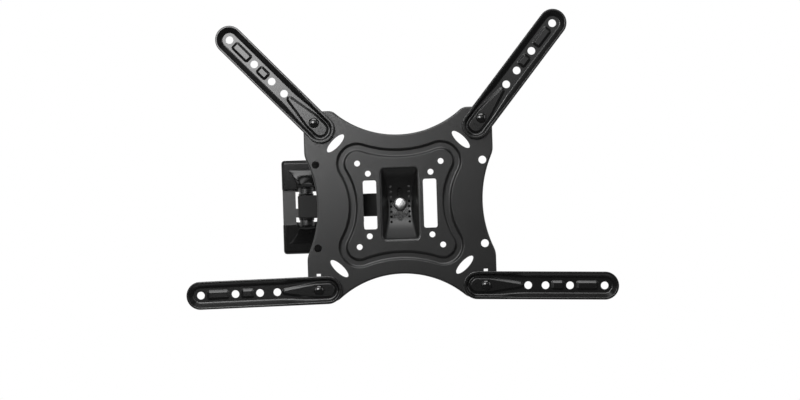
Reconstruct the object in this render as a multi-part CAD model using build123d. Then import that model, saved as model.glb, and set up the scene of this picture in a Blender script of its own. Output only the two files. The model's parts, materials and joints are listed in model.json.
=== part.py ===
from build123d import *
import os
from math import atan2, cos, hypot, radians, sin, sqrt

# Full motion wall mount for a flat screen, folded against the wall, in millimetres.
# The origin is the centre of the wall plate's back face. X runs right as seen from
# the room, Y runs into the wall and Z runs up. "Ahead" is the distance from the wall.

# Running and seating clearances
running_gap = 0.1
seat_gap = 0.05
shaft_clearance = 0.06
slide_gap = 0.3

# Wall plate
wall_plate_width = 61
wall_plate_height = 116
wall_plate_thickness = 3
wall_plate_corner = 3
wall_window_width = 29
stop_tab_width = 3
stop_tab_height = 11
stop_tab_drop = 7.5
wall_screw_spacing = 84
wall_screw_hole = 9
ear_thickness = 3.2
ear_tip_radius = 9.5
ear_root_width = 29
ear_root_fillet = 6

# Moulded wall covers
cover_depth = 11
cover_wall = 1.8
cover_edge_round = 4.5
cover_nose_height = 24
cover_nose_half_width = 12
cover_nose_sweep = 12
cover_nose_flare = 13
cover_nose_turns = (0, 20, 40, 58, 74, 84)
cover_peg_radius = 2
cover_peg_spacing = 46
cover_peg_height = 51
cover_peg_length = 2.4

# Swing arm
pivot_from_wall = 27
swing_arm_length = 115
swing_bar_height = 28
swing_bar_depth = 20
swing_bar_overhang = 10
swing_bar_wall = 2.5
swing_bar_round = 2
swing_end_round = 4
knuckle_radius = 9.5

# Vertical pivots, alike at both ends of the swing arm
pivot_bolt_radius = 4
pivot_head_flats = 13
pivot_head_height = 5.3
pivot_nut_height = 8
pivot_tail = 2
pivot_sunk_radius = 7
pivot_sunk_depth = 2.8
bush_wall = 3
bush_length = 10
bush_flange_radius = 9.2
bush_flange_thickness = 2.3
pivot_washer_radius = 8.4
pivot_washer_thickness = 2.2
bolt_chamfer = 0.8

# Cable clip on the swing bar
clip_centre = 60
clip_width = 20
clip_wall = 1.8
clip_lip = 3
clip_channel = 15
clip_round = 3.75
clip_entry = 6

# Tilt joint between yoke and screen plate
tilt_range = 15
tilt_floor_radius = 55
tilt_pad_thickness = 1.2
tilt_pad_width = 24
tilt_pad_height = 38
shoe_thickness = 3.5
shoe_width = 28
tilt_neck = 6.2
tilt_slot_width = 7
tilt_head_radius = 7.8
tilt_head_height = 4.6
tilt_shank_radius = 3
tilt_nut_flats = 10
tilt_nut_height = 5
tilt_washer_radius = 7
tilt_washer_thickness = 1.6
tilt_tail = 2
tilt_tail_room = 0.8
click_spacing = 22
click_rows = 8
click_pitch = 6.1
click_radius = 1.5
click_depth = 0.9

# Screen plate
sheet = 2.5
plate_side_margin = 13
plate_end_margin = 14
plate_side_hollow = 14
plate_side_start = 60
plate_end_hollow = 30.5
plate_end_start = 78
plate_corner_radius = 24
plate_neck_radius = 12
plate_shoulder_radius = 25
plate_flange_depth = 5.5
plate_edge_round = 2
pocket_depth = 20.5
pocket_mouth_width = 43
pocket_floor_width = 28
pocket_corner_round = 4
pocket_lip_round = 3.5
bead_lobe_radius = 25
bead_end_waist = 66.5
bead_side_waist = 61.5
bead_width = 11
bead_depth = 2.2
bead_slope = 2.6
bead_back_offset = 1.4
bead_lip_round = 1
bead_root_round = 1.8
cable_slot_centre = 36
cable_slot_width = 16
cable_slot_height = 58.5
cable_slot_corner = 2.5
screen_hole_radius = 3.5
small_pattern = 75
large_pattern = 100
wide_pattern_x = 200
wide_pattern_z = 100
wide_hole_radius = 4.7
oval_centre = 75
oval_length = 28
oval_width = 9.6
oval_turn = 45
notch_width = 5
notch_height = 3
notch_drop = 18

# Turning arms
arm_pivot = 100
arm_half_width = 16.75
arm_first_hole = 50
arm_second_hole = 70.7
arm_third_hole = 100
arm_last_hole = 141.4
arm_hole_radius = 4.6
arm_inner_overhang = 10.75
arm_sheet = 2
arm_rim_height = 7
arm_rim_edge = 1.5
arm_rim_tip = 2.2
arm_rim_root = 3.2
arm_floor_tip = 9
arm_floor_root = 12
arm_blend_start = 46
arm_blend_end = 6
arm_rim_round = 1
arm_bend_round = 2
emboss_height = 1.8
emboss_slope = 2.8
emboss_top_round = 0.7
emboss_root_round = 0.6
drop_tip_place = 40.5
drop_tip_radius = 4
drop_root_place = 3
drop_root_radius = 10
long_rib_length = 26.5
short_rib_length = 15.5
rib_width = 11.5
rib_corner = 3
mark_place = 11.5
mark_length = 6
mark_width = 3
mark_depth = 0.8
arm_bolt_radius = 3
arm_head_radius = 6.2
arm_head_height = 3
arm_nut_flats = 10
arm_nut_height = 5
arm_washer_radius = 6
arm_washer_thickness = 1.2
arm_tail = 1.5
arm_angles = {
    "arm_upper_left": (-1, 1, 133.7),
    "arm_upper_right": (1, 1, 51.3),
    "arm_lower_left": (-1, -1, 180.8),
    "arm_lower_right": (1, -1, -2),
}

# Heights of the pivot stacks above the middle of the swing arm
bar_top = swing_bar_height / 2
flange_top = bar_top + bush_flange_thickness
washer_bottom = flange_top + running_gap
washer_top = washer_bottom + pivot_washer_thickness
ear_bottom = washer_top + seat_gap
ear_top = ear_bottom + ear_thickness
bush_radius = pivot_bolt_radius + shaft_clearance + bush_wall
cover_low = ear_top + running_gap
cover_tip_radius = ear_tip_radius + running_gap

# Distances ahead of the wall, from the head pivot out to the screen plate
tail_end = pivot_from_wall + hypot(swing_bar_overhang, swing_bar_depth / 2) + tilt_tail_room
tilt_nut_back = tail_end + tilt_tail
tilt_nut_front = tilt_nut_back + tilt_nut_height
shoe_back = tilt_nut_front + tilt_washer_thickness + 2 * seat_gap
shoe_front = shoe_back + shoe_thickness
pad_front = shoe_front + seat_gap + tilt_pad_thickness
pocket_back = pad_front + slide_gap
pocket_floor = pocket_back + sheet
tilt_axis = pocket_floor + tilt_floor_radius
plate_front = pocket_floor + pocket_depth
plate_back = plate_front - sheet
head_x = swing_arm_length
arm_seat = plate_front + running_gap

# Places on the screen plate and the turning arms
plate_half_width = arm_pivot + plate_side_margin
plate_half_height = arm_pivot + plate_end_margin
plate_side_waist = plate_half_width - plate_side_hollow
plate_end_waist = plate_half_height - plate_end_hollow
bead_lobe_centre = large_pattern / 2
arm_hole_places = (arm_first_hole, arm_second_hole, arm_third_hole, arm_last_hole)


def front(ahead):
    """Drawing plane parallel to the wall, facing the room."""
    return Plane.XZ.offset(ahead)


def level(height):
    """Drawing plane looking down at a height, with Y into the wall."""
    return Plane.XY.offset(height)


def post(radius, low, high, x=0):
    """Upright round post on the pivot line at x."""
    return extrude(level(low) * Pos(x, -pivot_from_wall) * Circle(radius), high - low)


def drum(radius, width):
    """Round drum along X about the tilt axis, at the head."""
    return Pos(head_x, -tilt_axis, 0) * Rot(0, 90, 0) * Cylinder(radius, width)


def hexagon(flats, thickness):
    """Hexagonal prism standing on the drawing plane."""
    return extrude(RegularPolygon(flats / 2, 6, major_radius=False), thickness)


def hex_nut(flats, height, bore):
    """Hexagonal nut standing on the drawing plane, with a plain bore."""
    return hexagon(flats, height) - extrude(Circle(bore), height)


def washer(outer, inner, thickness):
    """Flat washer standing on the drawing plane."""
    return extrude(Circle(outer) - Circle(inner), thickness)


def dome(radius, height):
    """Shallow round bolt head standing on the drawing plane."""
    ball = (radius**2 + height**2) / (2 * height)
    cap = Pos(0, 0, height - ball) * Sphere(ball)
    return cap & extrude(Circle(radius), height)


def mirrored(shape):
    """The shape and its image below the swing arm's middle, as two solids."""
    return Compound(children=[shape, mirror(shape, Plane.XY)])


def flat_edges(solid, axis, place):
    """Edges of a solid that lie at one place along an axis."""
    return solid.edges().filter_by_position(axis, place - seat_gap, place + seat_gap)


def corners(half_x, half_z):
    """The four places of a rectangular pattern about the plate's centre."""
    return [(sx * half_x, sz * half_z) for sx in (-1, 1) for sz in (-1, 1)]


def ear_outline(root_ahead, root_width, tip_radius):
    """Plan of an ear: a round tip on the pivot that widens to a straight root."""
    tip = CenterArc((0, -pivot_from_wall), tip_radius, 0, 360)
    root = Line((-root_width / 2, -root_ahead), (root_width / 2, -root_ahead))
    return make_face(make_hull([tip, root]).edges())


def sunk_bolt(extra):
    """Countersunk wall pivot bolt, flush with both ears, grown sideways by a clearance."""
    stem = pivot_bolt_radius + extra
    rim = pivot_sunk_radius + extra
    neck = ear_top - pivot_sunk_depth
    profile = Polyline(
        (0, -ear_top), (stem, -ear_top), (stem, neck), (rim, ear_top), (0, ear_top), close=True
    )
    return Pos(0, -pivot_from_wall, 0) * revolve(Plane.XZ * make_face(profile), Axis.Z)


def wall_plate():
    """Flat plate with a window, its stop tab and two forward ears that hold the wall pivot."""
    blank = RectangleRounded(wall_plate_width, wall_plate_height, wall_plate_corner)
    blank -= Rectangle(wall_window_width, 2 * ear_bottom)
    tab_centre = (stop_tab_width - wall_window_width) / 2
    blank += Pos(tab_centre, -stop_tab_drop) * Rectangle(stop_tab_width, stop_tab_height)
    holes = (0, wall_screw_spacing / 2), (0, -wall_screw_spacing / 2)
    blank -= Locations(*holes) * Circle(wall_screw_hole / 2)
    blank -= Locations(*corners(cover_peg_spacing / 2, cover_peg_height)) * Circle(
        cover_peg_radius + running_gap
    )
    plate = extrude(front(0) * blank, wall_plate_thickness)
    outline = ear_outline(0, ear_root_width, ear_tip_radius)
    ear = extrude(level(ear_bottom) * outline, ear_thickness)
    plate += ear
    plate += mirror(ear, Plane.XY)
    roots = flat_edges(plate, Axis.Y, -wall_plate_thickness).filter_by(Axis.X)
    roots = [e for e in roots if abs(abs(e.center().Z) - ear_top) < seat_gap]
    return fillet(roots, ear_root_fillet) - sunk_bolt(seat_gap)


def nose_plan(half_width, reach, face):
    """Half-round plan of the cover's nose, standing on the cover's face."""
    rim = EllipticalCenterArc((0, -face), half_width, reach, start_angle=180, arc_size=180)
    return make_face([rim, Line(rim @ 1, rim @ 0)])


def cover_nose(inset):
    """Nose over the ear: a thin lip, and a sweep up from it that flares into the cover's face."""
    face = wall_plate_thickness + cover_depth - inset
    reach = pivot_from_wall + cover_tip_radius - face
    sweep = cover_nose_sweep + inset
    rise = cover_nose_height + inset
    sections = []
    for turn in cover_nose_turns:
        height = rise * (1 - cos(radians(turn)))
        flare = cover_nose_flare * (height / rise) ** 2
        plan = nose_plan(cover_nose_half_width - inset + flare, sweep * (1 - sin(radians(turn))), face)
        sections.append(level(cover_low + cover_wall - inset + height) * plan)
    lip = level(cover_low) * nose_plan(cover_nose_half_width - inset, reach - inset, face)
    if inset:
        return loft(sections) & extrude(lip, rise)
    return loft(sections) + extrude(lip, cover_wall)


def cover_solid(inset):
    """Outer or inner form of the upper cover: a rounded block with a swept nose."""
    half = wall_plate_width / 2 - inset
    top = wall_plate_height / 2 - inset
    base = wall_plate_thickness
    face = base + cover_depth - inset
    block = Pos(0, -(base + face) / 2, (cover_low + top) / 2) * Box(
        2 * half, face - base, top - cover_low
    )
    edges = block.edges().filter_by(Axis.X).group_by(Axis.Z)[-1].sort_by(Axis.Y)[:1]
    edges += block.edges().filter_by(Axis.Z).sort_by(Axis.Y)[:2]
    edges += block.edges().filter_by(Axis.Y).group_by(Axis.Z)[-1]
    return fillet(edges, cover_edge_round - inset) + cover_nose(inset)


def wall_cover():
    """Upper moulded cover: a shell with pegs, open at the back and onto the ear."""
    shell = cover_solid(0) - cover_solid(cover_wall)
    middle = wall_plate_thickness + cover_depth / 2
    floor_width = wall_plate_width - 2 * cover_wall
    floor = Box(floor_width, cover_depth - cover_wall, cover_wall)
    floor -= Box(ear_root_width + 2 * running_gap, cover_depth, cover_wall)
    shell += Pos(0, -middle + cover_wall / 2, cover_low + cover_wall / 2) * floor
    for side in (-1, 1):
        place = Pos(side * cover_peg_spacing / 2, cover_peg_height)
        stem = front(wall_plate_thickness - cover_peg_length) * place * Circle(cover_peg_radius)
        shell += extrude(stem, cover_peg_length + cover_depth - cover_wall / 2)
    return shell


def pivot_bolt(x):
    """Hexagon bolt down through both ears of the head pivot."""
    seat = ear_top + seat_gap
    head = level(seat) * Pos(x, -pivot_from_wall) * hexagon(pivot_head_flats, pivot_head_height)
    tail = -(ear_top + seat_gap + pivot_nut_height + pivot_tail)
    shank = post(pivot_bolt_radius, tail, seat, x)
    shank = chamfer(shank.edges().sort_by(Axis.Z)[:1], bolt_chamfer)
    return head + shank


def pivot_nut(x):
    """Lock nut under the lower ear."""
    nut = hex_nut(pivot_head_flats, pivot_nut_height, pivot_bolt_radius + seat_gap)
    low = -(ear_top + seat_gap + pivot_nut_height)
    return level(low) * Pos(x, -pivot_from_wall) * nut


def pivot_washers(x):
    """Steel washers between the bush flanges and the ears, one above and one below."""
    ring = washer(pivot_washer_radius, pivot_bolt_radius + seat_gap, pivot_washer_thickness)
    return mirrored(level(washer_bottom) * Pos(x, -pivot_from_wall) * ring)


def bushes(x):
    """Flanged plastic bushes pressed into both ends of a pivot tube."""
    flange = post(bush_flange_radius, bar_top, flange_top, x)
    sleeve = post(bush_radius, bar_top - bush_length, bar_top, x)
    bore = post(pivot_bolt_radius + shaft_clearance, bar_top - bush_length, flange_top, x)
    return mirrored(flange + sleeve - bore)


def swing_arm():
    """Channel bar, open to the wall side, with a pivot tube inside each end."""
    back = pivot_from_wall - swing_bar_depth / 2
    length = swing_arm_length + 2 * swing_bar_overhang
    bar = Pos(swing_arm_length / 2, -pivot_from_wall, 0) * Box(length, swing_bar_depth, swing_bar_height)
    bar = fillet(bar.edges().filter_by(Axis.Z).group_by(Axis.Y)[0], swing_end_round)
    bar = fillet(flat_edges(bar, Axis.Y, -pivot_from_wall - swing_bar_depth / 2), swing_bar_round)
    inside = swing_bar_height - 2 * swing_bar_wall
    room = front(back) * Pos(swing_arm_length / 2, 0) * Rectangle(length - 2 * swing_bar_wall, inside)
    bar -= extrude(room, swing_bar_depth - swing_bar_wall)
    for x in (0, swing_arm_length):
        bar += post(knuckle_radius, -bar_top, bar_top, x)
    for x in (0, swing_arm_length):
        bar -= post(bush_radius, -bar_top, bar_top, x)
    return bar


def cable_clip():
    """Plastic clip that hugs the bar, with an open loop for cables underneath."""
    gap = running_gap
    inner_y = swing_bar_depth + 2 * gap
    inner_z = swing_bar_height + 2 * gap
    hug = Rectangle(inner_y + 2 * clip_wall, inner_z + 2 * clip_wall)
    hug -= Rectangle(inner_y, inner_z)
    hug -= Pos((inner_y + clip_wall) / 2, 0) * Rectangle(clip_wall, inner_z - 2 * clip_lip)
    loop_centre = -(inner_z / 2 + clip_wall + clip_channel / 2)
    outer = clip_channel + 2 * clip_wall
    loop = RectangleRounded(outer, outer, clip_round + clip_wall)
    loop -= RectangleRounded(clip_channel, clip_channel, clip_round)
    loop -= Pos(outer / 2, 0) * Rectangle(outer, clip_entry)
    profile = hug + Pos(0, loop_centre) * loop
    place = Plane(
        origin=(clip_centre - clip_width / 2, -pivot_from_wall, 0),
        x_dir=(0, 1, 0),
        z_dir=(1, 0, 0),
    )
    return extrude(place * profile, clip_width)


def head_yoke():
    """Bracket on the head pivot: two ears and a curved shoe that carries the plate."""
    tip = CenterArc((0, -pivot_from_wall), ear_tip_radius, 0, 360)
    root = Line((-shoe_width / 2, -pocket_floor), (shoe_width / 2, -pocket_floor))
    plan = make_face(make_hull([tip, root]).edges())
    ear = extrude(level(ear_bottom) * Pos(head_x, 0) * plan, ear_thickness)
    ear -= post(pivot_bolt_radius + seat_gap, ear_bottom, ear_top, head_x)
    shoe_radius = tilt_axis - shoe_front
    shoe = Pos(head_x, -shoe_back, 0) * Box(shoe_width, tilt_floor_radius, 2 * ear_top)
    shoe &= drum(shoe_radius + shoe_thickness, shoe_width)
    yoke = ear + mirror(ear, Plane.XY) + shoe
    yoke -= drum(shoe_radius, 2 * shoe_width)
    neck = front(shoe_back - seat_gap) * Pos(head_x, 0) * Rectangle(
        tilt_neck + 2 * seat_gap, tilt_neck + 2 * seat_gap
    )
    return yoke - extrude(neck, shoe_thickness + tilt_pad_thickness)


def tilt_pad():
    """Thin curved friction pad on the shoe."""
    inner = tilt_axis - pad_front
    outer = inner + tilt_pad_thickness
    pad = drum(outer, tilt_pad_width) - drum(inner, 2 * tilt_pad_width)
    window = Pos(head_x, -pad_front, 0) * Box(tilt_pad_width, tilt_floor_radius, tilt_pad_height)
    pad &= window
    hole = front(shoe_back) * Pos(head_x, 0) * Circle(hypot(tilt_neck, tilt_neck) / 2 + seat_gap)
    return pad - extrude(hole, pocket_floor - shoe_back)


def tilt_head_seat():
    """Distance ahead of the wall of the tilt bolt head's flat underside."""
    return tilt_axis - sqrt(tilt_floor_radius**2 - tilt_head_radius**2) + slide_gap


def tilt_bolt():
    """Round-headed bolt with a square neck that rides in the tilt slot."""
    seat = tilt_head_seat()
    head = front(seat) * dome(tilt_head_radius, tilt_head_height)
    neck = extrude(front(shoe_back) * Rectangle(tilt_neck, tilt_neck), seat - shoe_back)
    shank = extrude(front(tail_end) * Circle(tilt_shank_radius), shoe_back - tail_end)
    shank = chamfer(shank.edges().sort_by(Axis.Y)[-1:], bolt_chamfer)
    return Pos(head_x, 0, 0) * (head + neck + shank)


def tilt_washer():
    """Washer behind the shoe."""
    ring = washer(tilt_washer_radius, tilt_shank_radius + seat_gap, tilt_washer_thickness)
    return front(shoe_back - seat_gap - tilt_washer_thickness) * Pos(head_x, 0) * ring


def tilt_nut():
    """Nut that clamps the tilt joint."""
    nut = hex_nut(tilt_nut_flats, tilt_nut_height, tilt_shank_radius + seat_gap)
    return front(tilt_nut_back) * Pos(head_x, 0) * nut


def plate_outline():
    """Outline of the screen plate: four lobes with hollow sides between them."""
    w, h = plate_half_width, plate_half_height
    s, e = plate_side_start, plate_end_start
    edges = []
    for side in (1, -1):
        edges += [
            ThreePointArc((side * w, -side * s), (side * plate_side_waist, 0), (side * w, side * s)),
            Line((side * w, side * s), (side * w, side * h)),
            Line((side * w, side * h), (side * e, side * h)),
            ThreePointArc((side * e, side * h), (0, side * plate_end_waist), (-side * e, side * h)),
            Line((-side * e, side * h), (-side * w, side * h)),
            Line((-side * w, side * h), (-side * w, side * s)),
        ]
    face = make_face(edges)
    rounds = ((w, h, plate_corner_radius), (e, h, plate_neck_radius), (w, s, plate_shoulder_radius))
    for x, z, radius in rounds:
        near = [
            v
            for v in face.vertices()
            if abs(abs(v.X) - x) < seat_gap and abs(abs(v.Y) - z) < seat_gap
        ]
        face = fillet(near, radius)
    return face


def bead_outline(inset):
    """Pillow-shaped line of the bead: round lobes joined by hollow sides."""
    c = bead_lobe_centre
    r = bead_lobe_radius
    centres = []
    for waist in (bead_side_waist, bead_end_waist):
        hollow = (c**2 + (waist - c) ** 2 - r**2) / (2 * (r - (waist - c)))
        centres.append((waist + hollow, hollow + inset))
    (side_x, side_r), (end_z, end_r) = centres
    lobe = r - inset
    to_side = atan2(-c, side_x - c)
    to_end = atan2(end_z - c, -c)
    middle = (to_side + to_end) / 2

    def on_lobe(sx, sz, angle):
        return (sx * (c + lobe * cos(angle)), sz * (c + lobe * sin(angle)))

    turns = ((1, 1), (-1, 1), (-1, -1), (1, -1))
    edges = []
    for i, (sx, sz) in enumerate(turns):
        nx, nz = turns[(i + 1) % 4]
        first, last = (to_side, to_end) if sx * sz > 0 else (to_end, to_side)
        start = on_lobe(sx, sz, first)
        end = on_lobe(sx, sz, last)
        edges.append(ThreePointArc(start, on_lobe(sx, sz, middle), end))
        following = on_lobe(nx, nz, last)
        if sz == nz:
            waist = (0, sz * (end_z - end_r))
        else:
            waist = (sx * (side_x - side_r), 0)
        edges.append(ThreePointArc(end, waist, following))
    return make_face(edges)


def bead_ring(top, outward, depth):
    """Ring with sloping sides that narrows from its mouth, for the bead's two faces."""
    bottom = top - depth
    outer = loft(
        [front(top) * bead_outline(-outward), front(bottom) * bead_outline(bead_slope - outward)],
        ruled=True,
    )
    inner = loft(
        [
            front(top) * bead_outline(bead_width + outward),
            front(bottom) * bead_outline(bead_width - bead_slope + outward),
        ],
        ruled=True,
    )
    return outer - inner


def beaded(body):
    """The sheet with its pressed bead, rounded where the bead's walls meet it."""
    body += Pos(head_x, 0, 0) * bead_ring(plate_back, bead_back_offset, bead_depth)
    body -= Pos(head_x, 0, 0) * bead_ring(plate_front, 0, bead_depth)
    reach = bead_lobe_centre + bead_lobe_radius + bead_back_offset
    rounds = (
        (plate_front, bead_lip_round),
        (plate_front - bead_depth, bead_root_round),
        (plate_back - bead_depth, bead_lip_round),
    )
    for ahead, radius in rounds:
        edges = flat_edges(body, Axis.Y, -ahead).filter_by_position(Axis.Z, -reach, reach)
        edges = edges.filter_by_position(Axis.X, head_x - reach, head_x + reach)
        body = fillet(edges, radius)
    return body


def pocket(extra):
    """Wedge-sided, round-bottomed form of the tilt pocket, grown by the sheet's thickness."""
    lean = (pocket_mouth_width - pocket_floor_width) / 2 / pocket_depth
    side = extra * sqrt(1 + lean**2)
    mouth = pocket_mouth_width / 2 + side
    deep = pocket_depth + 2 * sheet
    behind = plate_front - deep
    floor = mouth - lean * deep
    plan = make_face(
        Polyline(
            (-mouth, -plate_front), (mouth, -plate_front), (floor, -behind), (-floor, -behind), close=True
        )
    )
    wedge = extrude(level(-tilt_floor_radius) * Pos(head_x, 0) * plan, 2 * tilt_floor_radius)
    form = wedge & drum(tilt_floor_radius + extra, 2 * pocket_mouth_width)
    sides = [e for e in form.edges() if e.geom_type == GeomType.ELLIPSE]
    return fillet(sides, pocket_corner_round + extra)


def screen_plate():
    """Stamped plate with flanged rim, bead, hole patterns, cable slots and tilt pocket."""
    here = Pos(head_x, 0)
    outline = plate_outline()
    body = extrude(front(plate_front - plate_flange_depth) * here * outline, plate_flange_depth)
    body = fillet(flat_edges(body, Axis.Y, -plate_front), plate_edge_round)
    inside = offset(outline, -sheet)
    body -= extrude(front(plate_front - plate_flange_depth) * here * inside, plate_flange_depth - sheet)
    body = beaded(body)
    body += pocket(sheet)
    body -= pocket(0)
    half = pocket_mouth_width / 2 + seat_gap
    lip = flat_edges(body, Axis.Y, -plate_front).filter_by_position(Axis.X, head_x - half, head_x + half)
    lip = lip.filter_by_position(Axis.Z, -tilt_floor_radius, tilt_floor_radius)
    body = fillet(lip, pocket_lip_round)
    holes = Sketch()
    for half in (small_pattern / 2, large_pattern / 2):
        holes += Locations(*corners(half, half)) * Circle(screen_hole_radius)
    holes += Locations(*corners(wide_pattern_x / 2, wide_pattern_z / 2)) * Circle(wide_hole_radius)
    holes += Locations(*corners(arm_pivot, arm_pivot)) * Circle(arm_bolt_radius + seat_gap)
    notch = Rectangle(notch_width, notch_height)
    holes += Locations(*corners(arm_pivot, arm_pivot - notch_drop)) * notch
    slot = RectangleRounded(cable_slot_width, cable_slot_height, cable_slot_corner)
    holes += Locations((-cable_slot_centre, 0), (cable_slot_centre, 0)) * slot
    for x, z in corners(oval_centre, oval_centre):
        turn = -oval_turn if x * z > 0 else oval_turn
        holes += Pos(x, z) * Rot(0, 0, turn) * Ellipse(oval_length / 2, oval_width / 2)
    body -= extrude(front(plate_back - plate_flange_depth) * here * holes, sheet + 2 * plate_flange_depth)
    travel = (tilt_floor_radius + sheet) * sin(radians(tilt_range)) + tilt_neck / 2
    round_end = tilt_slot_width / 2 - sqrt(tilt_slot_width**2 - tilt_neck**2) / 2
    slot_length = 2 * (travel + round_end + slide_gap)
    slot = front(pocket_back - sheet) * here * Rot(0, 0, 90) * SlotOverall(slot_length, tilt_slot_width)
    body -= extrude(slot, pocket_depth)
    for row in range(click_rows):
        z = (row - (click_rows - 1) / 2) * click_pitch
        floor = tilt_axis - sqrt(tilt_floor_radius**2 - z**2)
        for side in (-1, 1):
            dot = front(floor - click_depth) * Pos(head_x + side * click_spacing / 2, z)
            body -= extrude(dot * Circle(click_radius), pocket_depth / 2)
    return body


def arm_outline(tip, root):
    """Long outline of a turning arm with half widths at its round tip and round root."""
    far_end = arm_hole_places[-1]
    near_end = -arm_inner_overhang
    edges = []
    for side in (1, -1):
        points = [
            (far_end, side * tip),
            (arm_blend_start, side * tip),
            (arm_blend_end, side * root),
            (near_end, side * root),
        ]
        lines = [
            Line(points[0], points[1]),
            Spline(points[1], points[2], tangents=[(-1, 0), (-1, 0)]),
            Line(points[2], points[3]),
        ]
        edges.append(lines)
    upper, lower = edges
    root_end = ThreePointArc((near_end, root), (near_end - root, 0), (near_end, -root))
    tip_end = ThreePointArc((far_end, -tip), (far_end + tip, 0), (far_end, tip))
    return make_face([*upper, root_end, *reversed(lower), tip_end])


def tapered(low_face, high_face, low, high):
    """Straight-sided solid between two outlines at two heights."""
    return loft([level(low) * low_face, level(high) * high_face], ruled=True)


def drop_outline(inset):
    """Teardrop round the arm's pivot with its point toward the nearest screw hole."""
    places = (
        (drop_tip_place, drop_tip_radius),
        (drop_root_place, drop_root_radius),
        (-arm_inner_overhang, drop_root_radius),
    )
    rings = [CenterArc((x, 0), r - inset, 0, 360) for x, r in places]
    return make_face(make_hull(rings).edges())


def rib_outline(length, inset):
    """Rounded rectangle of a raised rib."""
    return RectangleRounded(length - 2 * inset, rib_width - 2 * inset, rib_corner - inset)


def turning_arm():
    """Pressed tray with a raised rim, four screw holes and raised embossments."""
    slope = arm_sheet / 2
    shoulder = arm_rim_height - arm_rim_edge
    full = arm_outline(arm_half_width, arm_half_width)
    under = arm_outline(arm_floor_tip + slope, arm_floor_root + slope)
    tray = tapered(under, full, 0, shoulder)
    tray += extrude(level(shoulder) * full, arm_rim_edge)
    floor = arm_outline(arm_floor_tip, arm_floor_root)
    mouth = arm_outline(arm_half_width - arm_rim_tip, arm_half_width - arm_rim_root)
    tray -= tapered(floor, mouth, arm_sheet, arm_rim_height)
    bends = ((arm_rim_height, arm_rim_round), (arm_sheet, arm_bend_round), (0, arm_bend_round))
    for height, radius in bends:
        tray = fillet(flat_edges(tray, Axis.Z, height), radius)
    raised = [tapered(drop_outline(0), drop_outline(emboss_slope), 0, emboss_height)]
    short_place = (arm_second_hole + arm_third_hole) / 2
    long_place = (arm_third_hole + arm_last_hole) / 2
    for length, place in ((short_rib_length, short_place), (long_rib_length, long_place)):
        rib = tapered(rib_outline(length, 0), rib_outline(length, emboss_slope), 0, emboss_height)
        raised.append(Pos(place, 0, 0) * rib)
    bend_middles = [e.center() for e in flat_edges(tray, Axis.Z, arm_sheet)]
    for form in raised:
        soft = fillet(flat_edges(form, Axis.Z, emboss_height), emboss_top_round)
        tray += Pos(0, 0, arm_sheet) * soft
    roots = [
        e
        for e in flat_edges(tray, Axis.Z, arm_sheet)
        if min((e.center() - middle).length for middle in bend_middles) > seat_gap
    ]
    tray = fillet(roots, emboss_root_round)
    for form in raised:
        tray -= form
    holes = Pos(0, 0) * Circle(arm_bolt_radius + shaft_clearance)
    holes += Locations(*[(x, 0) for x in arm_hole_places]) * Circle(arm_hole_radius)
    tray -= extrude(holes, arm_rim_height)
    mark = level(arm_sheet + emboss_height - mark_depth) * Pos(-mark_place, 0) * Rot(0, 0, 90)
    return tray - extrude(mark * SlotOverall(mark_length, mark_width), arm_rim_height)


def at_arm_pivots(shape, ahead):
    """One copy of a fastener at each arm pivot, as separate solids."""
    places = corners(arm_pivot, arm_pivot)
    return Compound(children=[front(ahead) * Pos(head_x + x, z) * shape for x, z in places])


def arm_bolt():
    """Round-headed pivot bolt of a turning arm, standing on its seat."""
    grip = emboss_height + arm_sheet + 2 * running_gap + sheet
    length = grip + arm_washer_thickness + arm_nut_height + 2 * seat_gap + arm_tail
    shank = extrude(Circle(arm_bolt_radius), -length)
    shank = chamfer(shank.edges().sort_by(Axis.Z)[:1], bolt_chamfer)
    return dome(arm_head_radius, arm_head_height) + shank


arm_head_seat = arm_seat + arm_sheet + emboss_height + running_gap
arm_washer_back = plate_back - seat_gap - arm_washer_thickness
arm_nut_back = arm_washer_back - seat_gap - arm_nut_height
arm_ring = washer(arm_washer_radius, arm_bolt_radius + seat_gap, arm_washer_thickness)
arm_nut = hex_nut(arm_nut_flats, arm_nut_height, arm_bolt_radius + seat_gap)
upper_cover = wall_cover()

pieces = {
    "wall_plate": wall_plate(),
    "wall_cover_upper": upper_cover,
    "wall_cover_lower": mirror(upper_cover, Plane.XY),
    "wall_pivot_bolt": sunk_bolt(0),
    "wall_pivot_washers": pivot_washers(0),
    "swing_arm": swing_arm(),
    "wall_end_bushes": bushes(0),
    "head_end_bushes": bushes(head_x),
    "cable_clip": cable_clip(),
    "head_yoke": head_yoke(),
    "head_pivot_bolt": pivot_bolt(head_x),
    "head_pivot_nut": pivot_nut(head_x),
    "head_pivot_washers": pivot_washers(head_x),
    "tilt_pad": tilt_pad(),
    "tilt_bolt": tilt_bolt(),
    "tilt_washer": tilt_washer(),
    "tilt_nut": tilt_nut(),
    "screen_plate": screen_plate(),
    "arm_pivot_bolts": at_arm_pivots(arm_bolt(), arm_head_seat),
    "arm_pivot_washers": at_arm_pivots(arm_ring, arm_washer_back),
    "arm_pivot_nuts": at_arm_pivots(arm_nut, arm_nut_back),
}
arm = turning_arm()
for name, (side, rise, angle) in arm_angles.items():
    place = Pos(head_x + side * arm_pivot, rise * arm_pivot) * Rot(0, 0, angle)
    pieces[name] = front(arm_seat) * place * arm

os.makedirs("parts", exist_ok=True)
for name, piece in pieces.items():
    export_step(piece, f"parts/{name}.step")
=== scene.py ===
import json
import math

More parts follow.
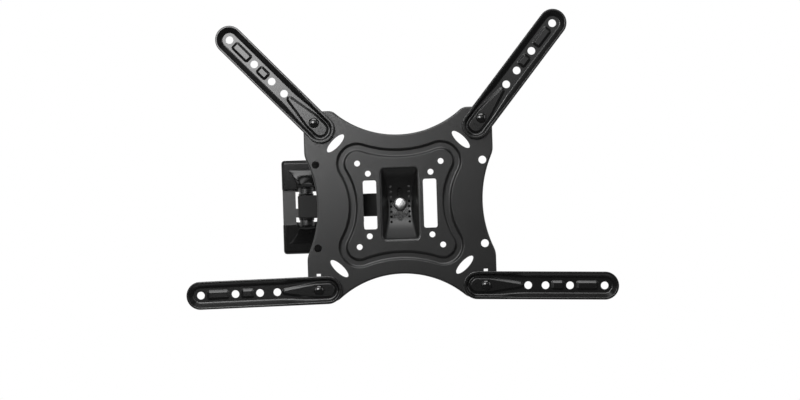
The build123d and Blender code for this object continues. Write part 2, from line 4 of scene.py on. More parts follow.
import bmesh
import bpy
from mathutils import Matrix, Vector


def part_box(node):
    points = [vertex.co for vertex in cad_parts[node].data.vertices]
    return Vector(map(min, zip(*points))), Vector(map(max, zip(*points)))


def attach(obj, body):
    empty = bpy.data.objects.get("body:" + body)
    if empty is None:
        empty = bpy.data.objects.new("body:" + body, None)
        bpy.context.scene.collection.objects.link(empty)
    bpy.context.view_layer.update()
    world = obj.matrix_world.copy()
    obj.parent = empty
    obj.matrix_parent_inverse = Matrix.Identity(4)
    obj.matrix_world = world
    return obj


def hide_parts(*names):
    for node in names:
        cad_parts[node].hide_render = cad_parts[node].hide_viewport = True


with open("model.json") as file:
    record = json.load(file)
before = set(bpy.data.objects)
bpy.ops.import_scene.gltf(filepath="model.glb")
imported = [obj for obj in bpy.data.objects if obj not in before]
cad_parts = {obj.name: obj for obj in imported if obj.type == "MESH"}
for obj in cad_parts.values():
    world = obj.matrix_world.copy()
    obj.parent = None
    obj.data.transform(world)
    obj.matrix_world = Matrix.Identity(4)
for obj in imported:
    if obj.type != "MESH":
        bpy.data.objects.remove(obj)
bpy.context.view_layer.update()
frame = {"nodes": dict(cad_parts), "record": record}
scene = bpy.context.scene
print("frame loaded:", len(frame["nodes"]), "nodes")

# Camera, at the photo's distance, rolled with the slight lean of the hung mount
plateLow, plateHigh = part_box("screen_plate")
plateMiddle = (plateLow + plateHigh) / 2
cameraSet = {
    "distance": 2.0,          # metres ahead of the plate's front
    "above": 0.0048,          # the plate sits just under the middle of the picture
    "frameWidth": 0.957,      # metres seen across the picture at the plate
    "sensor": 36.0,
    "lean": math.radians(1.8),
}
cameraData = bpy.data.cameras.new("camera")
cameraData.sensor_width = cameraSet["sensor"]
cameraData.lens = cameraSet["sensor"] * cameraSet["distance"] / cameraSet["frameWidth"]
camera = bpy.data.objects.new("camera", cameraData)
camera.location = (plateMiddle.x, plateLow.y - cameraSet["distance"], plateMiddle.z + cameraSet["above"])
camera.rotation_euler = (math.radians(90), cameraSet["lean"], 0)
scene.collection.objects.link(camera)
scene.camera = camera
scene.view_settings.view_transform = "Standard"
print("camera set, lens", round(cameraData.lens, 1))


# A socket with operators, so that shader maths reads as an expression
class Wire:
    def __init__(self, tree, socket=None):
        self.tree = tree
        self.socket = socket

    # inputs go by name, or by number as i0, i1 and so on
    def node(self, kind, settings=None, out=0, **inputs):
        made = self.tree.nodes.new(kind)
        for name, value in (settings or {}).items():
            setattr(made, name, value)
        for name, value in inputs.items():
            numbered = name[0] == "i" and name[1:].isdigit()
            key = int(name[1:]) if numbered else name.replace("_", " ")
            if isinstance(value, Wire):
                self.tree.links.new(value.socket, made.inputs[key])
            else:
                made.inputs[key].default_value = value
        return Wire(self.tree, made.outputs[out])

    def maths(self, operation, other=0.0, swapped=False):
        first, second = (other, self) if swapped else (self, other)
        return self.node("ShaderNodeMath", {"operation": operation}, i0=first, i1=second)

    def __add__(self, other):
        return self.maths("ADD", other)

    def __radd__(self, other):
        return self.maths("ADD", other, swapped=True)

    def __sub__(self, other):
        return self.maths("SUBTRACT", other)

    def __rsub__(self, other):
        return self.maths("SUBTRACT", other, swapped=True)

    def __mul__(self, other):
        return self.maths("MULTIPLY", other)

    def __rmul__(self, other):
        return self.maths("MULTIPLY", other, swapped=True)

    def __truediv__(self, other):
        return self.maths("DIVIDE", other)

    def __rtruediv__(self, other):
        return self.maths("DIVIDE", other, swapped=True)

    def power(self, other):
        return self.maths("POWER", other)

    def clamped(self, width):
        return self.node("ShaderNodeMapRange", Value=self, From_Min=0.0, From_Max=width)


def grey(value):
    return (value, value, value, 1.0)


def newMaterial(name):
    material = bpy.data.materials.new(name)
    material.use_nodes = True
    tree = material.node_tree
    shader = tree.nodes["Principled BSDF"]
    place = Wire(tree).node("ShaderNodeTexCoord", out="Object")
    return material, shader, place


def feed(target, name, wire):
    wire.tree.links.new(wire.socket, target.inputs[name])


# The lower click rows of the tilt pocket get painted shade: a dull, metallic finish over the black base
# makes their insides dark
shadedClickRows = {
    "column": 0.011,          # metres to each side of the plate's middle
    "pitch": 0.0061,
    "rows": 8,
    "radius": 0.0016,
    "soft": 0.0003,
    "roughness": 0.85,
}
# The pocket's floor is mottled round the tilt bolt, where the coat has been rubbed
rubbedPatch = {
    "halfWidth": 0.0125,
    "above": 0.006,           # metres above and below the plate's middle
    "below": 0.021,
    "soft": 0.003,
    "speckleScale": 460.0,
    "speckleDetail": 1.0,
    "spread": 0.65,
}
# Below that the floor turns duller towards the pocket's foot
pocketFoot = {
    "halfWidth": 0.0175,
    "from": 0.019,            # metres below the plate's middle
    "to": 0.041,
    "ramp": 0.012,
    "soft": 0.002,
    "duller": 0.35,
}


def fromMiddle(place):
    across = place.node("ShaderNodeSeparateXYZ", out="X", Vector=place) - plateMiddle.x
    up = place.node("ShaderNodeSeparateXYZ", out="Z", Vector=place)
    return across.maths("ABSOLUTE"), up


# Painted shade: marks the dimples of the lower click rows, which the pocket's finish turns dark
def clickShadeMask(place):
    across, up = fromMiddle(place)
    pitch, soft = shadedClickRows["pitch"], shadedClickRows["soft"]
    aside = across - shadedClickRows["column"]
    along = up.maths("PINGPONG", pitch) - pitch / 2
    apart = (aside * aside + along * along).power(0.5)
    disc = (shadedClickRows["radius"] - apart).clamped(soft)
    lower = (pitch - up).clamped(soft)
    reach = shadedClickRows["rows"] * pitch / 2
    return disc * lower * (reach + up).clamped(soft)


def rubMask(place):
    across, up = fromMiddle(place)
    soft = rubbedPatch["soft"]
    aside = (rubbedPatch["halfWidth"] - across).clamped(soft)
    return aside * (rubbedPatch["above"] - up).clamped(soft) * (up + rubbedPatch["below"]).clamped(soft)


def footMask(place):
    across, up = fromMiddle(place)
    aside = (pocketFoot["halfWidth"] - across).clamped(pocketFoot["soft"])
    end = (up + pocketFoot["to"]).clamped(pocketFoot["soft"])
    return aside * end * (-pocketFoot["from"] - up).clamped(pocketFoot["ramp"])


noiseDetail = {"cloud": 3.0, "grain": 2.0}


# Coated steel, moulded plastic and plated metal all share this build-up
def coating(name, look):
    material, shader, place = newMaterial(name)
    broad = place.node(
        "ShaderNodeTexNoise", Vector=place, Scale=look["cloudScale"], Detail=noiseDetail["cloud"]
    )
    fine = place.node(
        "ShaderNodeTexNoise", Vector=place, Scale=look["grainScale"], Detail=noiseDetail["grain"]
    )
    shade = place.node(
        "ShaderNodeMix", {"data_type": "RGBA"}, out=2, i0=broad, i6=look["dark"], i7=look["light"]
    )
    feed(shader, "Base Color", shade)
    roughness = look["roughness"] + look["roughnessSpread"] * (broad - 0.5)
    if look.get("pocket"):
        speckle = place.node(
            "ShaderNodeTexNoise", Vector=place, Scale=rubbedPatch["speckleScale"],
            Detail=rubbedPatch["speckleDetail"],
        )
        roughness = roughness + rubbedPatch["spread"] * rubMask(place) * (speckle - 0.5)
        roughness = roughness + pocketFoot["duller"] * footMask(place)
        # Painted shade: the lower click dimples get a rough metallic finish that renders them nearly black
        paintedShade = clickShadeMask(place)
        roughness = roughness * (1 - paintedShade) + shadedClickRows["roughness"] * paintedShade
        feed(shader, "Metallic", paintedShade)
    feed(shader, "Roughness", roughness)
    bump = place.node(
        "ShaderNodeBump", Height=fine, Strength=look["grainStrength"], Distance=look["grainDepth"]
    )
    feed(shader, "Normal", bump)
    shader.inputs["Metallic"].default_value = look["metallic"]
    shader.inputs["Specular IOR Level"].default_value = look["specular"]
    return material


coatings = {
    "satinBlack": {
        "dark": grey(0.007), "light": grey(0.01), "roughness": 0.34, "roughnessSpread": 0.04,
        "metallic": 0.0, "specular": 0.52, "cloudScale": 14.0,
        "grainScale": 1400.0, "grainStrength": 0.1, "grainDepth": 0.0002,
    },
    "plateBlack": {
        "dark": grey(0.005), "light": grey(0.007), "roughness": 0.305, "roughnessSpread": 0.04,
        "metallic": 0.0, "specular": 0.52, "cloudScale": 14.0, "pocket": True,
        "grainScale": 1400.0, "grainStrength": 0.1, "grainDepth": 0.0002,
    },
    "domeBlack": {
        "dark": grey(0.004), "light": grey(0.006), "roughness": 0.12, "roughnessSpread": 0.02,
        "metallic": 0.0, "specular": 0.6, "cloudScale": 60.0,
        "grainScale": 900.0, "grainStrength": 0.01, "grainDepth": 0.0001,
    },
    "glossBlack": {
        "dark": grey(0.004), "light": grey(0.006), "roughness": 0.22, "roughnessSpread": 0.03,
        "metallic": 0.0, "specular": 0.48, "cloudScale": 20.0,
        "grainScale": 300.0, "grainStrength": 0.015, "grainDepth": 0.0001,
    },
    "mouldedBlack": {
        "dark": grey(0.004), "light": grey(0.006), "roughness": 0.17, "roughnessSpread": 0.03,
        "metallic": 0.0, "specular": 0.2, "cloudScale": 30.0,
        "grainScale": 900.0, "grainStrength": 0.02, "grainDepth": 0.0001,
    },
    "padBlack": {
        "dark": grey(0.005), "light": grey(0.007), "roughness": 0.31, "roughnessSpread": 0.5,
        "metallic": 0.0, "specular": 0.42, "cloudScale": 460.0,
        "grainScale": 1400.0, "grainStrength": 0.1, "grainDepth": 0.0002,
    },
    "barBlack": {
        "dark": grey(0.011), "light": grey(0.015), "roughness": 0.5, "roughnessSpread": 0.08,
        "metallic": 0.0, "specular": 0.14, "cloudScale": 24.0,
        "grainScale": 1600.0, "grainStrength": 0.15, "grainDepth": 0.0001,
    },
    "darkSteel": {
        "dark": grey(0.05), "light": grey(0.09), "roughness": 0.3, "roughnessSpread": 0.1,
        "metallic": 1.0, "specular": 0.5, "cloudScale": 160.0,
        "grainScale": 2200.0, "grainStrength": 0.05, "grainDepth": 0.0001,
    },
    "rubbedZinc": {
        "dark": grey(0.5), "light": grey(0.84), "roughness": 0.36, "roughnessSpread": 0.4,
        "metallic": 1.0, "specular": 0.5, "cloudScale": 420.0,
        "grainScale": 700.0, "grainStrength": 0.3, "grainDepth": 0.0002,
    },
    "brightZinc": {
        "dark": grey(0.66), "light": grey(0.84), "roughness": 0.4, "roughnessSpread": 0.1,
        "metallic": 1.0, "specular": 0.5, "cloudScale": 160.0,
        "grainScale": 2200.0, "grainStrength": 0.05, "grainDepth": 0.0001,
    },
}
finishes = {name: coating(name, look) for name, look in coatings.items()}
print("finishes:", ", ".join(finishes))

nodeFinish = {
    "satinBlack": ["wall_plate", "head_yoke"],
    "plateBlack": ["screen_plate"],
    "barBlack": ["swing_arm"],
    "glossBlack": ["arm_upper_left", "arm_upper_right", "arm_lower_left", "arm_lower_right"],
    "domeBlack": ["arm_pivot_bolts"],
    "mouldedBlack": [
        "wall_cover_upper", "wall_cover_lower", "cable_clip", "wall_end_bushes", "head_end_bushes",
    ],
    "padBlack": ["tilt_pad"],
    "darkSteel": ["wall_pivot_washers", "head_pivot_washers"],
    "brightZinc": [
        "wall_pivot_bolt", "head_pivot_bolt", "head_pivot_nut", "tilt_bolt", "tilt_washer", "tilt_nut",
        "arm_pivot_washers", "arm_pivot_nuts",
    ],
}
for finish, nodes in nodeFinish.items():
    for node in nodes:
        target = frame["nodes"][node]
        target.data.materials.clear()
        target.data.materials.append(finishes[finish])
print("finishes on the plain pieces")

# Fasteners are drawn round the Y axis, head towards the room, then set in place by geometry nodes
drawing = {
    "roundSides": 48,
    "hexSides": 60,
    "crownSteps": 12,
    "sharpAngle": math.radians(32),
    "mergeDistance": 1e-7,
    "hexFace": 0.48,          # radius of a hexagon's flat end, as a share of its width
    "hexChamfer": math.radians(30),
    "washerCorner": 0.3,      # share of a washer's rounded edge
}


def turnedMesh(name, profile, sides, loop=False):
    form = bmesh.new()
    rows = []
    for reach, along in profile:
        row = []
        for step in range(sides):
            angle = 2 * math.pi * step / sides
            radius = reach(angle) if callable(reach) else reach
            height = along(angle) if callable(along) else along
            row.append(form.verts.new((radius * math.cos(angle), height, radius * math.sin(angle))))
        rows.append(row)
    pairs = list(zip(rows, rows[1:]))
    if loop:
        pairs.append((rows[-1], rows[0]))
    for low, high in pairs:
        for step in range(sides):
            after = (step + 1) % sides
            form.faces.new((low[step], low[after], high[after], high[step]))
    if not loop:
        form.faces.new(rows[-1])
    bmesh.ops.remove_doubles(form, verts=form.verts, dist=drawing["mergeDistance"])
    bmesh.ops.recalc_face_normals(form, faces=form.faces)
    return meshFrom(name, form)


def meshFrom(name, form):
    mesh = bpy.data.meshes.new(name)
    form.to_mesh(mesh)
    form.free()
    mesh.shade_smooth()
    mesh.set_sharp_from_angle(angle=drawing["sharpAngle"])
    return mesh


def crownProfile(radius, height, fullness, top):
    points = []
    for step in range(drawing["crownSteps"] + 1):
        turn = math.radians(90) * step / drawing["crownSteps"]
        reach = radius * math.sin(turn) ** (2 / fullness)
        rise = max(math.cos(turn), 0.0) ** (2 / fullness)
        points.append((reach, top + height * (1 - rise)))
    return points


def hexReach(flats):
    half = flats / 2
    return lambda angle: half / math.cos((angle + math.pi / 6) % (math.pi / 3) - math.pi / 6)


def hexDrop(flats, face):
    reach = hexReach(flats)
    return lambda angle: (reach(angle) - face) * math.tan(drawing["hexChamfer"])


def nutMesh(name, look, top, foot):
    flats, bore, chamfer = look["flats"], look["bore"], look["chamfer"]
    face = drawing["hexFace"] * flats
    drop, reach = hexDrop(flats, face), hexReach(flats)
    profile = [
        (bore, top + chamfer), (bore + chamfer, top), (face, top), (reach, lambda a: top + drop(a)),
        (reach, lambda a: foot - drop(a)), (face, foot), (bore + chamfer, foot), (bore, foot - chamfer),
    ]
    return turnedMesh(name, profile, drawing["hexSides"], loop=True)


def washerMesh(name, look, top, foot):
    radius, bore, edge = look["radius"], look["bore"], look["edge"]
    corner = edge * drawing["washerCorner"]
    profile = [
        (bore, top + edge / 2), (bore + edge / 2, top), (radius - edge, top),
        (radius - corner, top + corner), (radius, top + edge), (radius, foot), (bore, foot),
    ]
    return turnedMesh(name, profile, drawing["roundSides"], loop=True)


# Geometry nodes use the same socket class as the materials
def newTree(name, sockets):
    tree = bpy.data.node_groups.new(name, "GeometryNodeTree")
    tree.interface.new_socket("Geometry", in_out="INPUT", socket_type="NodeSocketGeometry")
    for label, kind in sockets.items():
        tree.interface.new_socket(label, in_out="INPUT", socket_type="NodeSocket" + kind)
    tree.interface.new_socket("Geometry", in_out="OUTPUT", socket_type="NodeSocketGeometry")
    start = tree.nodes.new("NodeGroupInput")
    return tree, {socket.name: Wire(tree, socket) for socket in start.outputs if socket.name}


def closeTree(tree, shape, finish):
    real = shape.node("GeometryNodeRealizeInstances", Geometry=shape)
    coated = real.node("GeometryNodeSetMaterial", Geometry=real, Material=finish)
    end = tree.nodes.new("NodeGroupOutput")
    tree.links.new(coated.socket, end.inputs[0])
    return tree


def grown(name, tree, values, verts=(), edges=()):
    base = bpy.data.meshes.new(name + "Base")
    base.from_pydata(list(verts), list(edges), [])
    holder = bpy.data.objects.new(name + "Base", base)
    scene.collection.objects.link(holder)
    modifier = holder.modifiers.new("grow", "NODES")
    modifier.node_group = tree
    for item in tree.interface.items_tree:
        if item.in_out == "INPUT" and item.name in values:
            modifier[item.identifier] = values[item.name]
    graph = bpy.context.evaluated_depsgraph_get()
    mesh = bpy.data.meshes.new_from_object(holder.evaluated_get(graph))
    holder.modifiers.remove(modifier)
    bpy.data.objects.remove(holder)
    piece = bpy.data.objects.new(name, mesh)
    scene.collection.objects.link(piece)
    return piece


def fastenerTree():
    tree, ends = newTree("fastenerSet", {
        "Fastener": "Object", "Tip": "Vector", "Loose Turn": "Float", "Seed": "Int", "Finish": "Material",
    })
    shape = ends["Fastener"].node("GeometryNodeObjectInfo", out=4, Object=ends["Fastener"])
    spin = ends["Seed"].node(
        "FunctionNodeRandomValue", {"data_type": "FLOAT"}, out=1,
        i2=0.0, i3=ends["Loose Turn"], Seed=ends["Seed"],
    )
    own = spin.node("ShaderNodeCombineXYZ", Y=spin)
    placed = shape.node(
        "GeometryNodeInstanceOnPoints", Points=ends["Geometry"], Instance=shape, Rotation=ends["Tip"]
    )
    turned = placed.node("GeometryNodeRotateInstances", Instances=placed, Rotation=own)
    return closeTree(tree, turned, ends["Finish"])


threadCut = {
    "sunk": 0.3,              # these three are shares of the pitch
    "ridge": 0.42,
    "runOut": 0.5,
    "turnPoints": 24,
    "ridgeSides": 4,
}


def threadTree():
    tree, ends = newTree("screwThread", {
        "Radius": "Float", "Pitch": "Float", "Length": "Float", "Ridge": "Float", "Start": "Vector",
        "Finish": "Material",
    })
    turns = ends["Length"] / ends["Pitch"]
    helix = turns.node(
        "GeometryNodeCurveSpiral", Resolution=threadCut["turnPoints"], Rotations=turns,
        Start_Radius=ends["Radius"], End_Radius=ends["Radius"], Height=ends["Length"],
    )
    ridge = turns.node(
        "GeometryNodeCurvePrimitiveCircle", Resolution=threadCut["ridgeSides"], Radius=ends["Ridge"]
    )
    swept = helix.node("GeometryNodeCurveToMesh", Curve=helix, Profile_Curve=ridge, Fill_Caps=True)
    tipped = swept.node(
        "GeometryNodeTransform", Geometry=swept, Translation=ends["Start"], Rotation=(-math.pi / 2, 0, 0)
    )
    return closeTree(tree, tipped, ends["Finish"])


weld = {
    "ripple": 0.0014,
    "width": 0.003,
    "unevenness": 0.06,
    "swell": 0.1,             # how far the ripples thin the bead
    "pointsPerRipple": 5,
    "sides": 12,
    "seed": 5,
    "lineSteps": 10,          # points to each side of a seam's middle
}


def weldTree():
    tree, ends = newTree("weldBead", {
        "Ripple": "Float", "Bead Width": "Float", "Unevenness": "Float", "Seed": "Int",
        "Finish": "Material",
    })
    seam = ends["Geometry"].node("GeometryNodeMeshToCurve", Mesh=ends["Geometry"])
    even = seam.node(
        "GeometryNodeResampleCurve", {"mode": "LENGTH"},
        Curve=seam, Length=ends["Ripple"] / weld["pointsPerRipple"],
    )
    along = seam.node("GeometryNodeSplineParameter", out=1)
    wave = (along * (2 * math.pi) / ends["Ripple"]).maths("SINE")
    uneven = seam.node(
        "FunctionNodeRandomValue", {"data_type": "FLOAT"}, out=1,
        i2=0.0, i3=ends["Unevenness"], Seed=ends["Seed"],
    )
    swell = (1 - weld["swell"]) + weld["swell"] * wave - uneven
    section = seam.node(
        "GeometryNodeCurvePrimitiveCircle", Resolution=weld["sides"], Radius=ends["Bead Width"] / 2
    )
    bead = even.node(
        "GeometryNodeCurveToMesh", Curve=even, Profile_Curve=section, Scale=swell, Fill_Caps=True
    )
    smooth = bead.node("GeometryNodeSetShadeSmooth", Geometry=bead, Shade_Smooth=True)
    return closeTree(tree, smooth, ends["Finish"])


trees = {"fastener": fastenerTree(), "thread": threadTree(), "weld": weldTree()}
print("node trees:", ", ".join(tree.name for tree in trees.values()))


# Joins a helical ridge to the end of a bolt's shank
def withThread(mesh, look, finish, tail):
    pitch, length = look["pitch"], look["threadLength"]
    thread = grown("thread", trees["thread"], {
        "Radius": look["shank"] - pitch * threadCut["sunk"],
        "Pitch": pitch,
        "Length": length,
        "Ridge": pitch * threadCut["ridge"],
        "Start": (0, tail - length - pitch * threadCut["runOut"], 0),
        "Finish": finishes[finish],
    })
    form = bmesh.new()
    form.from_mesh(mesh)
    form.from_mesh(thread.data)
    bpy.data.objects.remove(thread)
    return meshFrom(mesh.name, form)


def setFasteners(name, mesh, places, finish, node, body, tip=(0, 0, 0), turn=0.0, seed=3):
    unit = bpy.data.objects.new(name + "Unit", mesh)
    piece = grown(name, trees["fastener"], {
        "Fastener": unit, "Tip": tip, "Loose Turn": turn, "Seed": seed, "Finish": finishes[finish],
    }, verts=places)
    bpy.data.objects.remove(unit)
    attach(piece, body)
    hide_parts(node)
    print("fasteners:", name, len(piece.data.polygons), "faces")


joints = {joint["name"]: Vector(joint["pos_m"]) for joint in frame["record"]["behaviour"]["joints"]}
armPlaces = [(place.x, 0, place.z) for name, place in joints.items() if name.endswith("_turn")]
headPlace = joints["head_swivel"]
tiltPlace = joints["tilt"]

# Arm pivots: dark crowned bolts from the front, plated washers and nuts behind the plate
armBolt = {
    "headRadius": 0.0062, "headHeight": 0.003, "fullness": 2.1, "shank": 0.003, "chamfer": 0.0006,
    "pitch": 0.001, "threadLength": 0.006,
}
boltLow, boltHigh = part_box("arm_pivot_bolts")
boltSeat = boltLow.y + armBolt["headHeight"]
boltProfile = crownProfile(armBolt["headRadius"], armBolt["headHeight"], armBolt["fullness"], boltLow.y)
boltProfile += [
    (armBolt["shank"], boltSeat), (armBolt["shank"], boltHigh.y - armBolt["chamfer"]),
    (armBolt["shank"] - armBolt["chamfer"], boltHigh.y),
]
boltMesh = turnedMesh("armBolt", boltProfile, drawing["roundSides"])
boltMesh = withThread(boltMesh, armBolt, "domeBlack", boltHigh.y)
setFasteners(
    "armPivotBolts", boltMesh, armPlaces, "domeBlack", "arm_pivot_bolts", "screen_plate"
)
armWasher = {"radius": 0.006, "bore": 0.0031, "edge": 0.0003}
washerLow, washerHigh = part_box("arm_pivot_washers")
setFasteners(
    "armPivotWashers", washerMesh("armWasher", armWasher, washerLow.y, washerHigh.y), armPlaces,
    "brightZinc", "arm_pivot_washers", "screen_plate",
)
armNut = {"flats": 0.01, "bore": 0.00305, "chamfer": 0.0005}
nutLow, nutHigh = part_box("arm_pivot_nuts")
setFasteners(
    "armPivotNuts", nutMesh("armNut", armNut, nutLow.y, nutHigh.y), armPlaces,
    "brightZinc", "arm_pivot_nuts", "screen_plate", turn=2 * math.pi,
)

# Tilt bolt: bright crowned head in the pocket, square neck, threaded tail with washer and nut
tiltBolt = {
    "headRadius": 0.0078, "headHeight": 0.0046, "fullness": 2.8, "neck": 0.0062, "neckTaper": 0.0003,
    "shank": 0.003, "chamfer": 0.0007, "pitch": 0.001, "threadLength": 0.008,
}
tiltLow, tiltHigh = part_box("tilt_bolt")
tiltSeat = tiltLow.y + tiltBolt["headHeight"]
tiltWasherLow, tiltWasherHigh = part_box("tilt_washer")
halfNeck = tiltBolt["neck"] / 2


def neckReach(angle):
    return halfNeck / max(abs(math.cos(angle)), abs(math.sin(angle)))


tiltProfile = crownProfile(tiltBolt["headRadius"], tiltBolt["headHeight"], tiltBolt["fullness"], tiltLow.y)
tiltProfile += [
    (neckReach, tiltSeat), (neckReach, tiltWasherLow.y - tiltBolt["neckTaper"]),
    (tiltBolt["shank"], tiltWasherLow.y), (tiltBolt["shank"], tiltHigh.y - tiltBolt["chamfer"]),
    (tiltBolt["shank"] - tiltBolt["chamfer"], tiltHigh.y),
]
tiltSpot = [(tiltPlace.x, 0, 0)]
tiltMesh = turnedMesh("tiltBolt", tiltProfile, drawing["roundSides"])
tiltMesh = withThread(tiltMesh, tiltBolt, "rubbedZinc", tiltHigh.y)
setFasteners("tiltBolt", tiltMesh, tiltSpot, "rubbedZinc", "tilt_bolt", "head")
tiltWasher = {"radius": 0.007, "bore": 0.0031, "edge": 0.0004}
setFasteners(
    "tiltWasher", washerMesh("tiltWasher", tiltWasher, tiltWasherLow.y, tiltWasherHigh.y), tiltSpot,
    "brightZinc", "tilt_washer", "head",
)
tiltNut = {"flats": 0.01, "bore": 0.00305, "chamfer": 0.0005}
tiltNutLow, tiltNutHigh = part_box("tilt_nut")
setFasteners(
    "tiltNut", nutMesh("tiltNut", tiltNut, tiltNutLow.y, tiltNutHigh.y), tiltSpot,
    "brightZinc", "tilt_nut", "head",
)

# Head pivot: hexagon bolt down through the yoke's ears, lock nut below
headBolt = {
    "flats": 0.013, "headHeight": 0.0053, "crownShare": 0.86, "crownDrop": 0.0002,
    "shank": 0.004, "chamfer": 0.0008, "pitch": 0.00125, "threadLength": 0.011,
}
headLow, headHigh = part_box("head_pivot_bolt")
headTop, headFoot = -headHigh.z, -headLow.z        # along the bolt, downwards
headSeat = headTop + headBolt["headHeight"]
headEdge = headTop + headBolt["crownDrop"]
headFace = drawing["hexFace"] * headBolt["flats"]
headReach = hexReach(headBolt["flats"])
headDrop = hexDrop(headBolt["flats"], headFace)
headProfile = [
    (0.0, headTop), (headFace * headBolt["crownShare"], headTop), (headFace, headEdge),
    (headReach, lambda a: headEdge + headDrop(a)), (headReach, headSeat),
    (headBolt["shank"], headSeat), (headBolt["shank"], headFoot - headBolt["chamfer"]),
    (headBolt["shank"] - headBolt["chamfer"], headFoot),
]
headSpot = [(headPlace.x, headPlace.y, 0)]
downwards = (-math.pi / 2, 0, 0)
headMesh = turnedMesh("headBolt", headProfile, drawing["hexSides"])
headMesh = withThread(headMesh, headBolt, "brightZinc", headFoot)
setFasteners(
    "headPivotBolt", headMesh, headSpot,
    "brightZinc", "head_pivot_bolt", "head", tip=downwards,
)
headNut = {"flats": 0.013, "bore": 0.00405, "chamfer": 0.0006}
headNutLow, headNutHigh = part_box("head_pivot_nut")
setFasteners(
    "headPivotNut", nutMesh("headNut", headNut, -headNutHigh.z, -headNutLow.z), headSpot,
    "brightZinc", "head_pivot_nut", "head", tip=downwards,
)

# Weld seams: pivot tubes to the swing arm's channel, and the yoke's ears to its shoe
tubeWeld = {"tubeRadius": 0.0095, "wallInside": 0.0115, "spread": 70}
yokeWeld = {"reach": 0.012, "shoeBack": 0.0534, "earInside": 0.0185}
seamSteps = [step / weld["lineSteps"] for step in range(-weld["lineSteps"], weld["lineSteps"] + 1)]


def weldSeam(name, lines, finish, body):
    verts, edges = [], []
    for line in lines:
        edges += [(len(verts) + step, len(verts) + step + 1) for step in range(len(line) - 1)]
        verts += line
    piece = grown(name, trees["weld"], {
        "Ripple": weld["ripple"], "Bead Width": weld["width"], "Unevenness": weld["unevenness"],
        "Seed": weld["seed"], "Finish": finishes[finish],
    }, verts, edges)
    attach(piece, body)
    print("weld seam:", name, len(piece.data.polygons), "faces")


tubeLines = []
for pivot in (joints["wall_swivel"], headPlace):
    for side in (-1, 1):
        line = []
        for step in seamSteps:
            angle = math.radians(90 + tubeWeld["spread"] * step)
            line.append((
                pivot.x + tubeWeld["tubeRadius"] * math.cos(angle),
                pivot.y + tubeWeld["tubeRadius"] * math.sin(angle),
                side * tubeWeld["wallInside"],
            ))
        tubeLines.append(line)
weldSeam("tubeWelds", tubeLines, "barBlack", "swing_arm")
yokeLines = [
    [
        (headPlace.x + yokeWeld["reach"] * step, -yokeWeld["shoeBack"], side * yokeWeld["earInside"])
        for step in seamSteps
    ]
    for side in (-1, 1)
]
weldSeam("yokeWelds", yokeLines, "satinBlack", "head")

# Studio: pale floor, dark flags that only reflections see, softboxes
studioSet = {
    "floorDrop": 0.62,        # metres below the wall plate's middle
    "floorAcross": 8.0,
    "floorAhead": 8.0,        # metres towards the room, and behind the wall plane
    "floorBehind": 2.3,
    "floorGrey": 0.8,
    "floorRoughness": 0.9,
    "fadeFrom": 0.9,          # the floor turns to the backdrop's white between these two
    "fadeTo": 2.2,
    "flagGrey": 0.02,
    "worldStrength": 0.3,
}


def stagePlane(name, middle, across, up, material):
    mesh = bpy.data.meshes.new(name)
    middle, across, up = Vector(middle), Vector(across), Vector(up)
    corners = [middle - across - up, middle + across - up, middle + across + up, middle - across + up]
    mesh.from_pydata([tuple(c) for c in corners], [], [(0, 1, 2, 3)])
    mesh.materials.append(material)
    plane = bpy.data.objects.new(name, mesh)
    scene.collection.objects.link(plane)
    return plane


def seenRays(tree):
    rays = ("Is Camera Ray", "Is Glossy Ray", "Is Transmission Ray")
    straight, mirrored, through = (Wire(tree).node("ShaderNodeLightPath", out=ray) for ray in rays)
    return straight + mirrored + through


floorMaterial, floorShader, floorPlace = newMaterial("paleFloor")
floorShader.inputs["Base Color"].default_value = grey(studioSet["floorGrey"])
floorShader.inputs["Roughness"].default_value = studioSet["floorRoughness"]
floorSpot = (plateMiddle.x, 0, -studioSet["floorDrop"])
away = floorPlace.node(
    "ShaderNodeVectorMath", {"operation": "DISTANCE"}, out=1, i0=floorPlace, i1=floorSpot
)
fade = away.node(
    "ShaderNodeMapRange", {"interpolation_type": "SMOOTHSTEP"},
    Value=away, From_Min=studioSet["fadeFrom"], From_Max=studioSet["fadeTo"],
)
white = away.node("ShaderNodeEmission", Color=grey(1.0), Strength=1.0)
plain = Wire(away.tree, floorShader.outputs[0])
floorLook = away.node("ShaderNodeMixShader", i0=fade * seenRays(away.tree), i1=plain, i2=white)
feed(floorMaterial.node_tree.nodes["Material Output"], "Surface", floorLook)
floorHalf = (studioSet["floorAhead"] + studioSet["floorBehind"]) / 2
floorMiddle = (plateMiddle.x, studioSet["floorBehind"] - floorHalf, -studioSet["floorDrop"])
stagePlane("floor", floorMiddle, (studioSet["floorAcross"], 0, 0), (0, floorHalf, 0), floorMaterial)

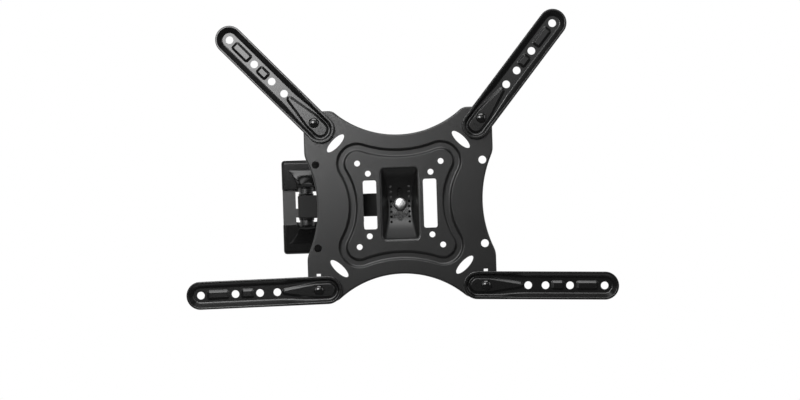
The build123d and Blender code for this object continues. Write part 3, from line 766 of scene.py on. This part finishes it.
flagMaterial, flagShader, _ = newMaterial("darkFlag")
flagShader.inputs["Base Color"].default_value = grey(studioSet["flagGrey"])
flagShader.inputs["Roughness"].default_value = 1.0
flags = {
    "frontFlag": {"middle": (0, -2.8, 0.4), "across": (1.8, 0, 0), "up": (0, 0, 1.3)},
    "lowFlag": {"middle": (0, -1.5, -0.55), "across": (1.8, 0, 0), "up": (0, 1.35, 0)},
    "highFlag": {"middle": (0, -1.5, 1.7), "across": (1.8, 0, 0), "up": (0, 1.35, 0)},
    "leftFlag": {"middle": (-1.8, -1.5, 0.4), "across": (0, 1.35, 0), "up": (0, 0, 1.3)},
    "rightFlag": {"middle": (1.8, -1.5, 0.4), "across": (0, 1.35, 0), "up": (0, 0, 1.3)},
}
for name, flag in flags.items():
    middle = Vector(flag["middle"]) + Vector((plateMiddle.x, 0, 0))
    card = stagePlane(name, middle, flag["across"], flag["up"], flagMaterial)
    card.visible_camera = False
    card.visible_diffuse = False
    card.visible_shadow = False

world = bpy.data.worlds.new("studio")
scene.world = world
world.use_nodes = True
worldTree = world.node_tree
background = worldTree.nodes["Background"]
background.inputs["Color"].default_value = grey(1.0)
feed(background, "Strength", seenRays(worldTree).maths("MAXIMUM", studioSet["worldStrength"]))

softboxes = {
    "keySoftbox": {"place": (-0.54, -2.0, 0.48), "size": (0.8, 0.6), "power": 19.0},
    "fillSoftbox": {"place": (0.3, -2.0, 0.5), "size": (0.7, 0.5), "power": 1.1},
    "topSoftbox": {"place": (-0.1, -1.0, 1.3), "size": (1.4, 0.9), "power": 20.0},
    "leftSoftbox": {"place": (-1.5, -1.3, 0.5), "size": (0.8, 1.2), "power": 7.0},
    "rightSoftbox": {"place": (1.5, -1.3, 0.5), "size": (0.8, 1.2), "power": 6.0},
    "backSoftbox": {"place": (-0.4, 2.0, 1.0), "size": (1.0, 1.0), "power": 14.0},
}
for name, box in softboxes.items():
    light = bpy.data.lights.new(name, "AREA")
    light.shape = "RECTANGLE"
    light.size, light.size_y = box["size"]
    light.energy = box["power"]
    lamp = bpy.data.objects.new(name, light)
    lamp.location = Vector(box["place"]) + Vector((plateMiddle.x, 0, 0))
    aim = Vector((plateMiddle.x, plateLow.y, 0)) - lamp.location
    lamp.rotation_euler = aim.to_track_quat("-Z", "Y").to_euler()
    scene.collection.objects.link(lamp)
print("studio set")
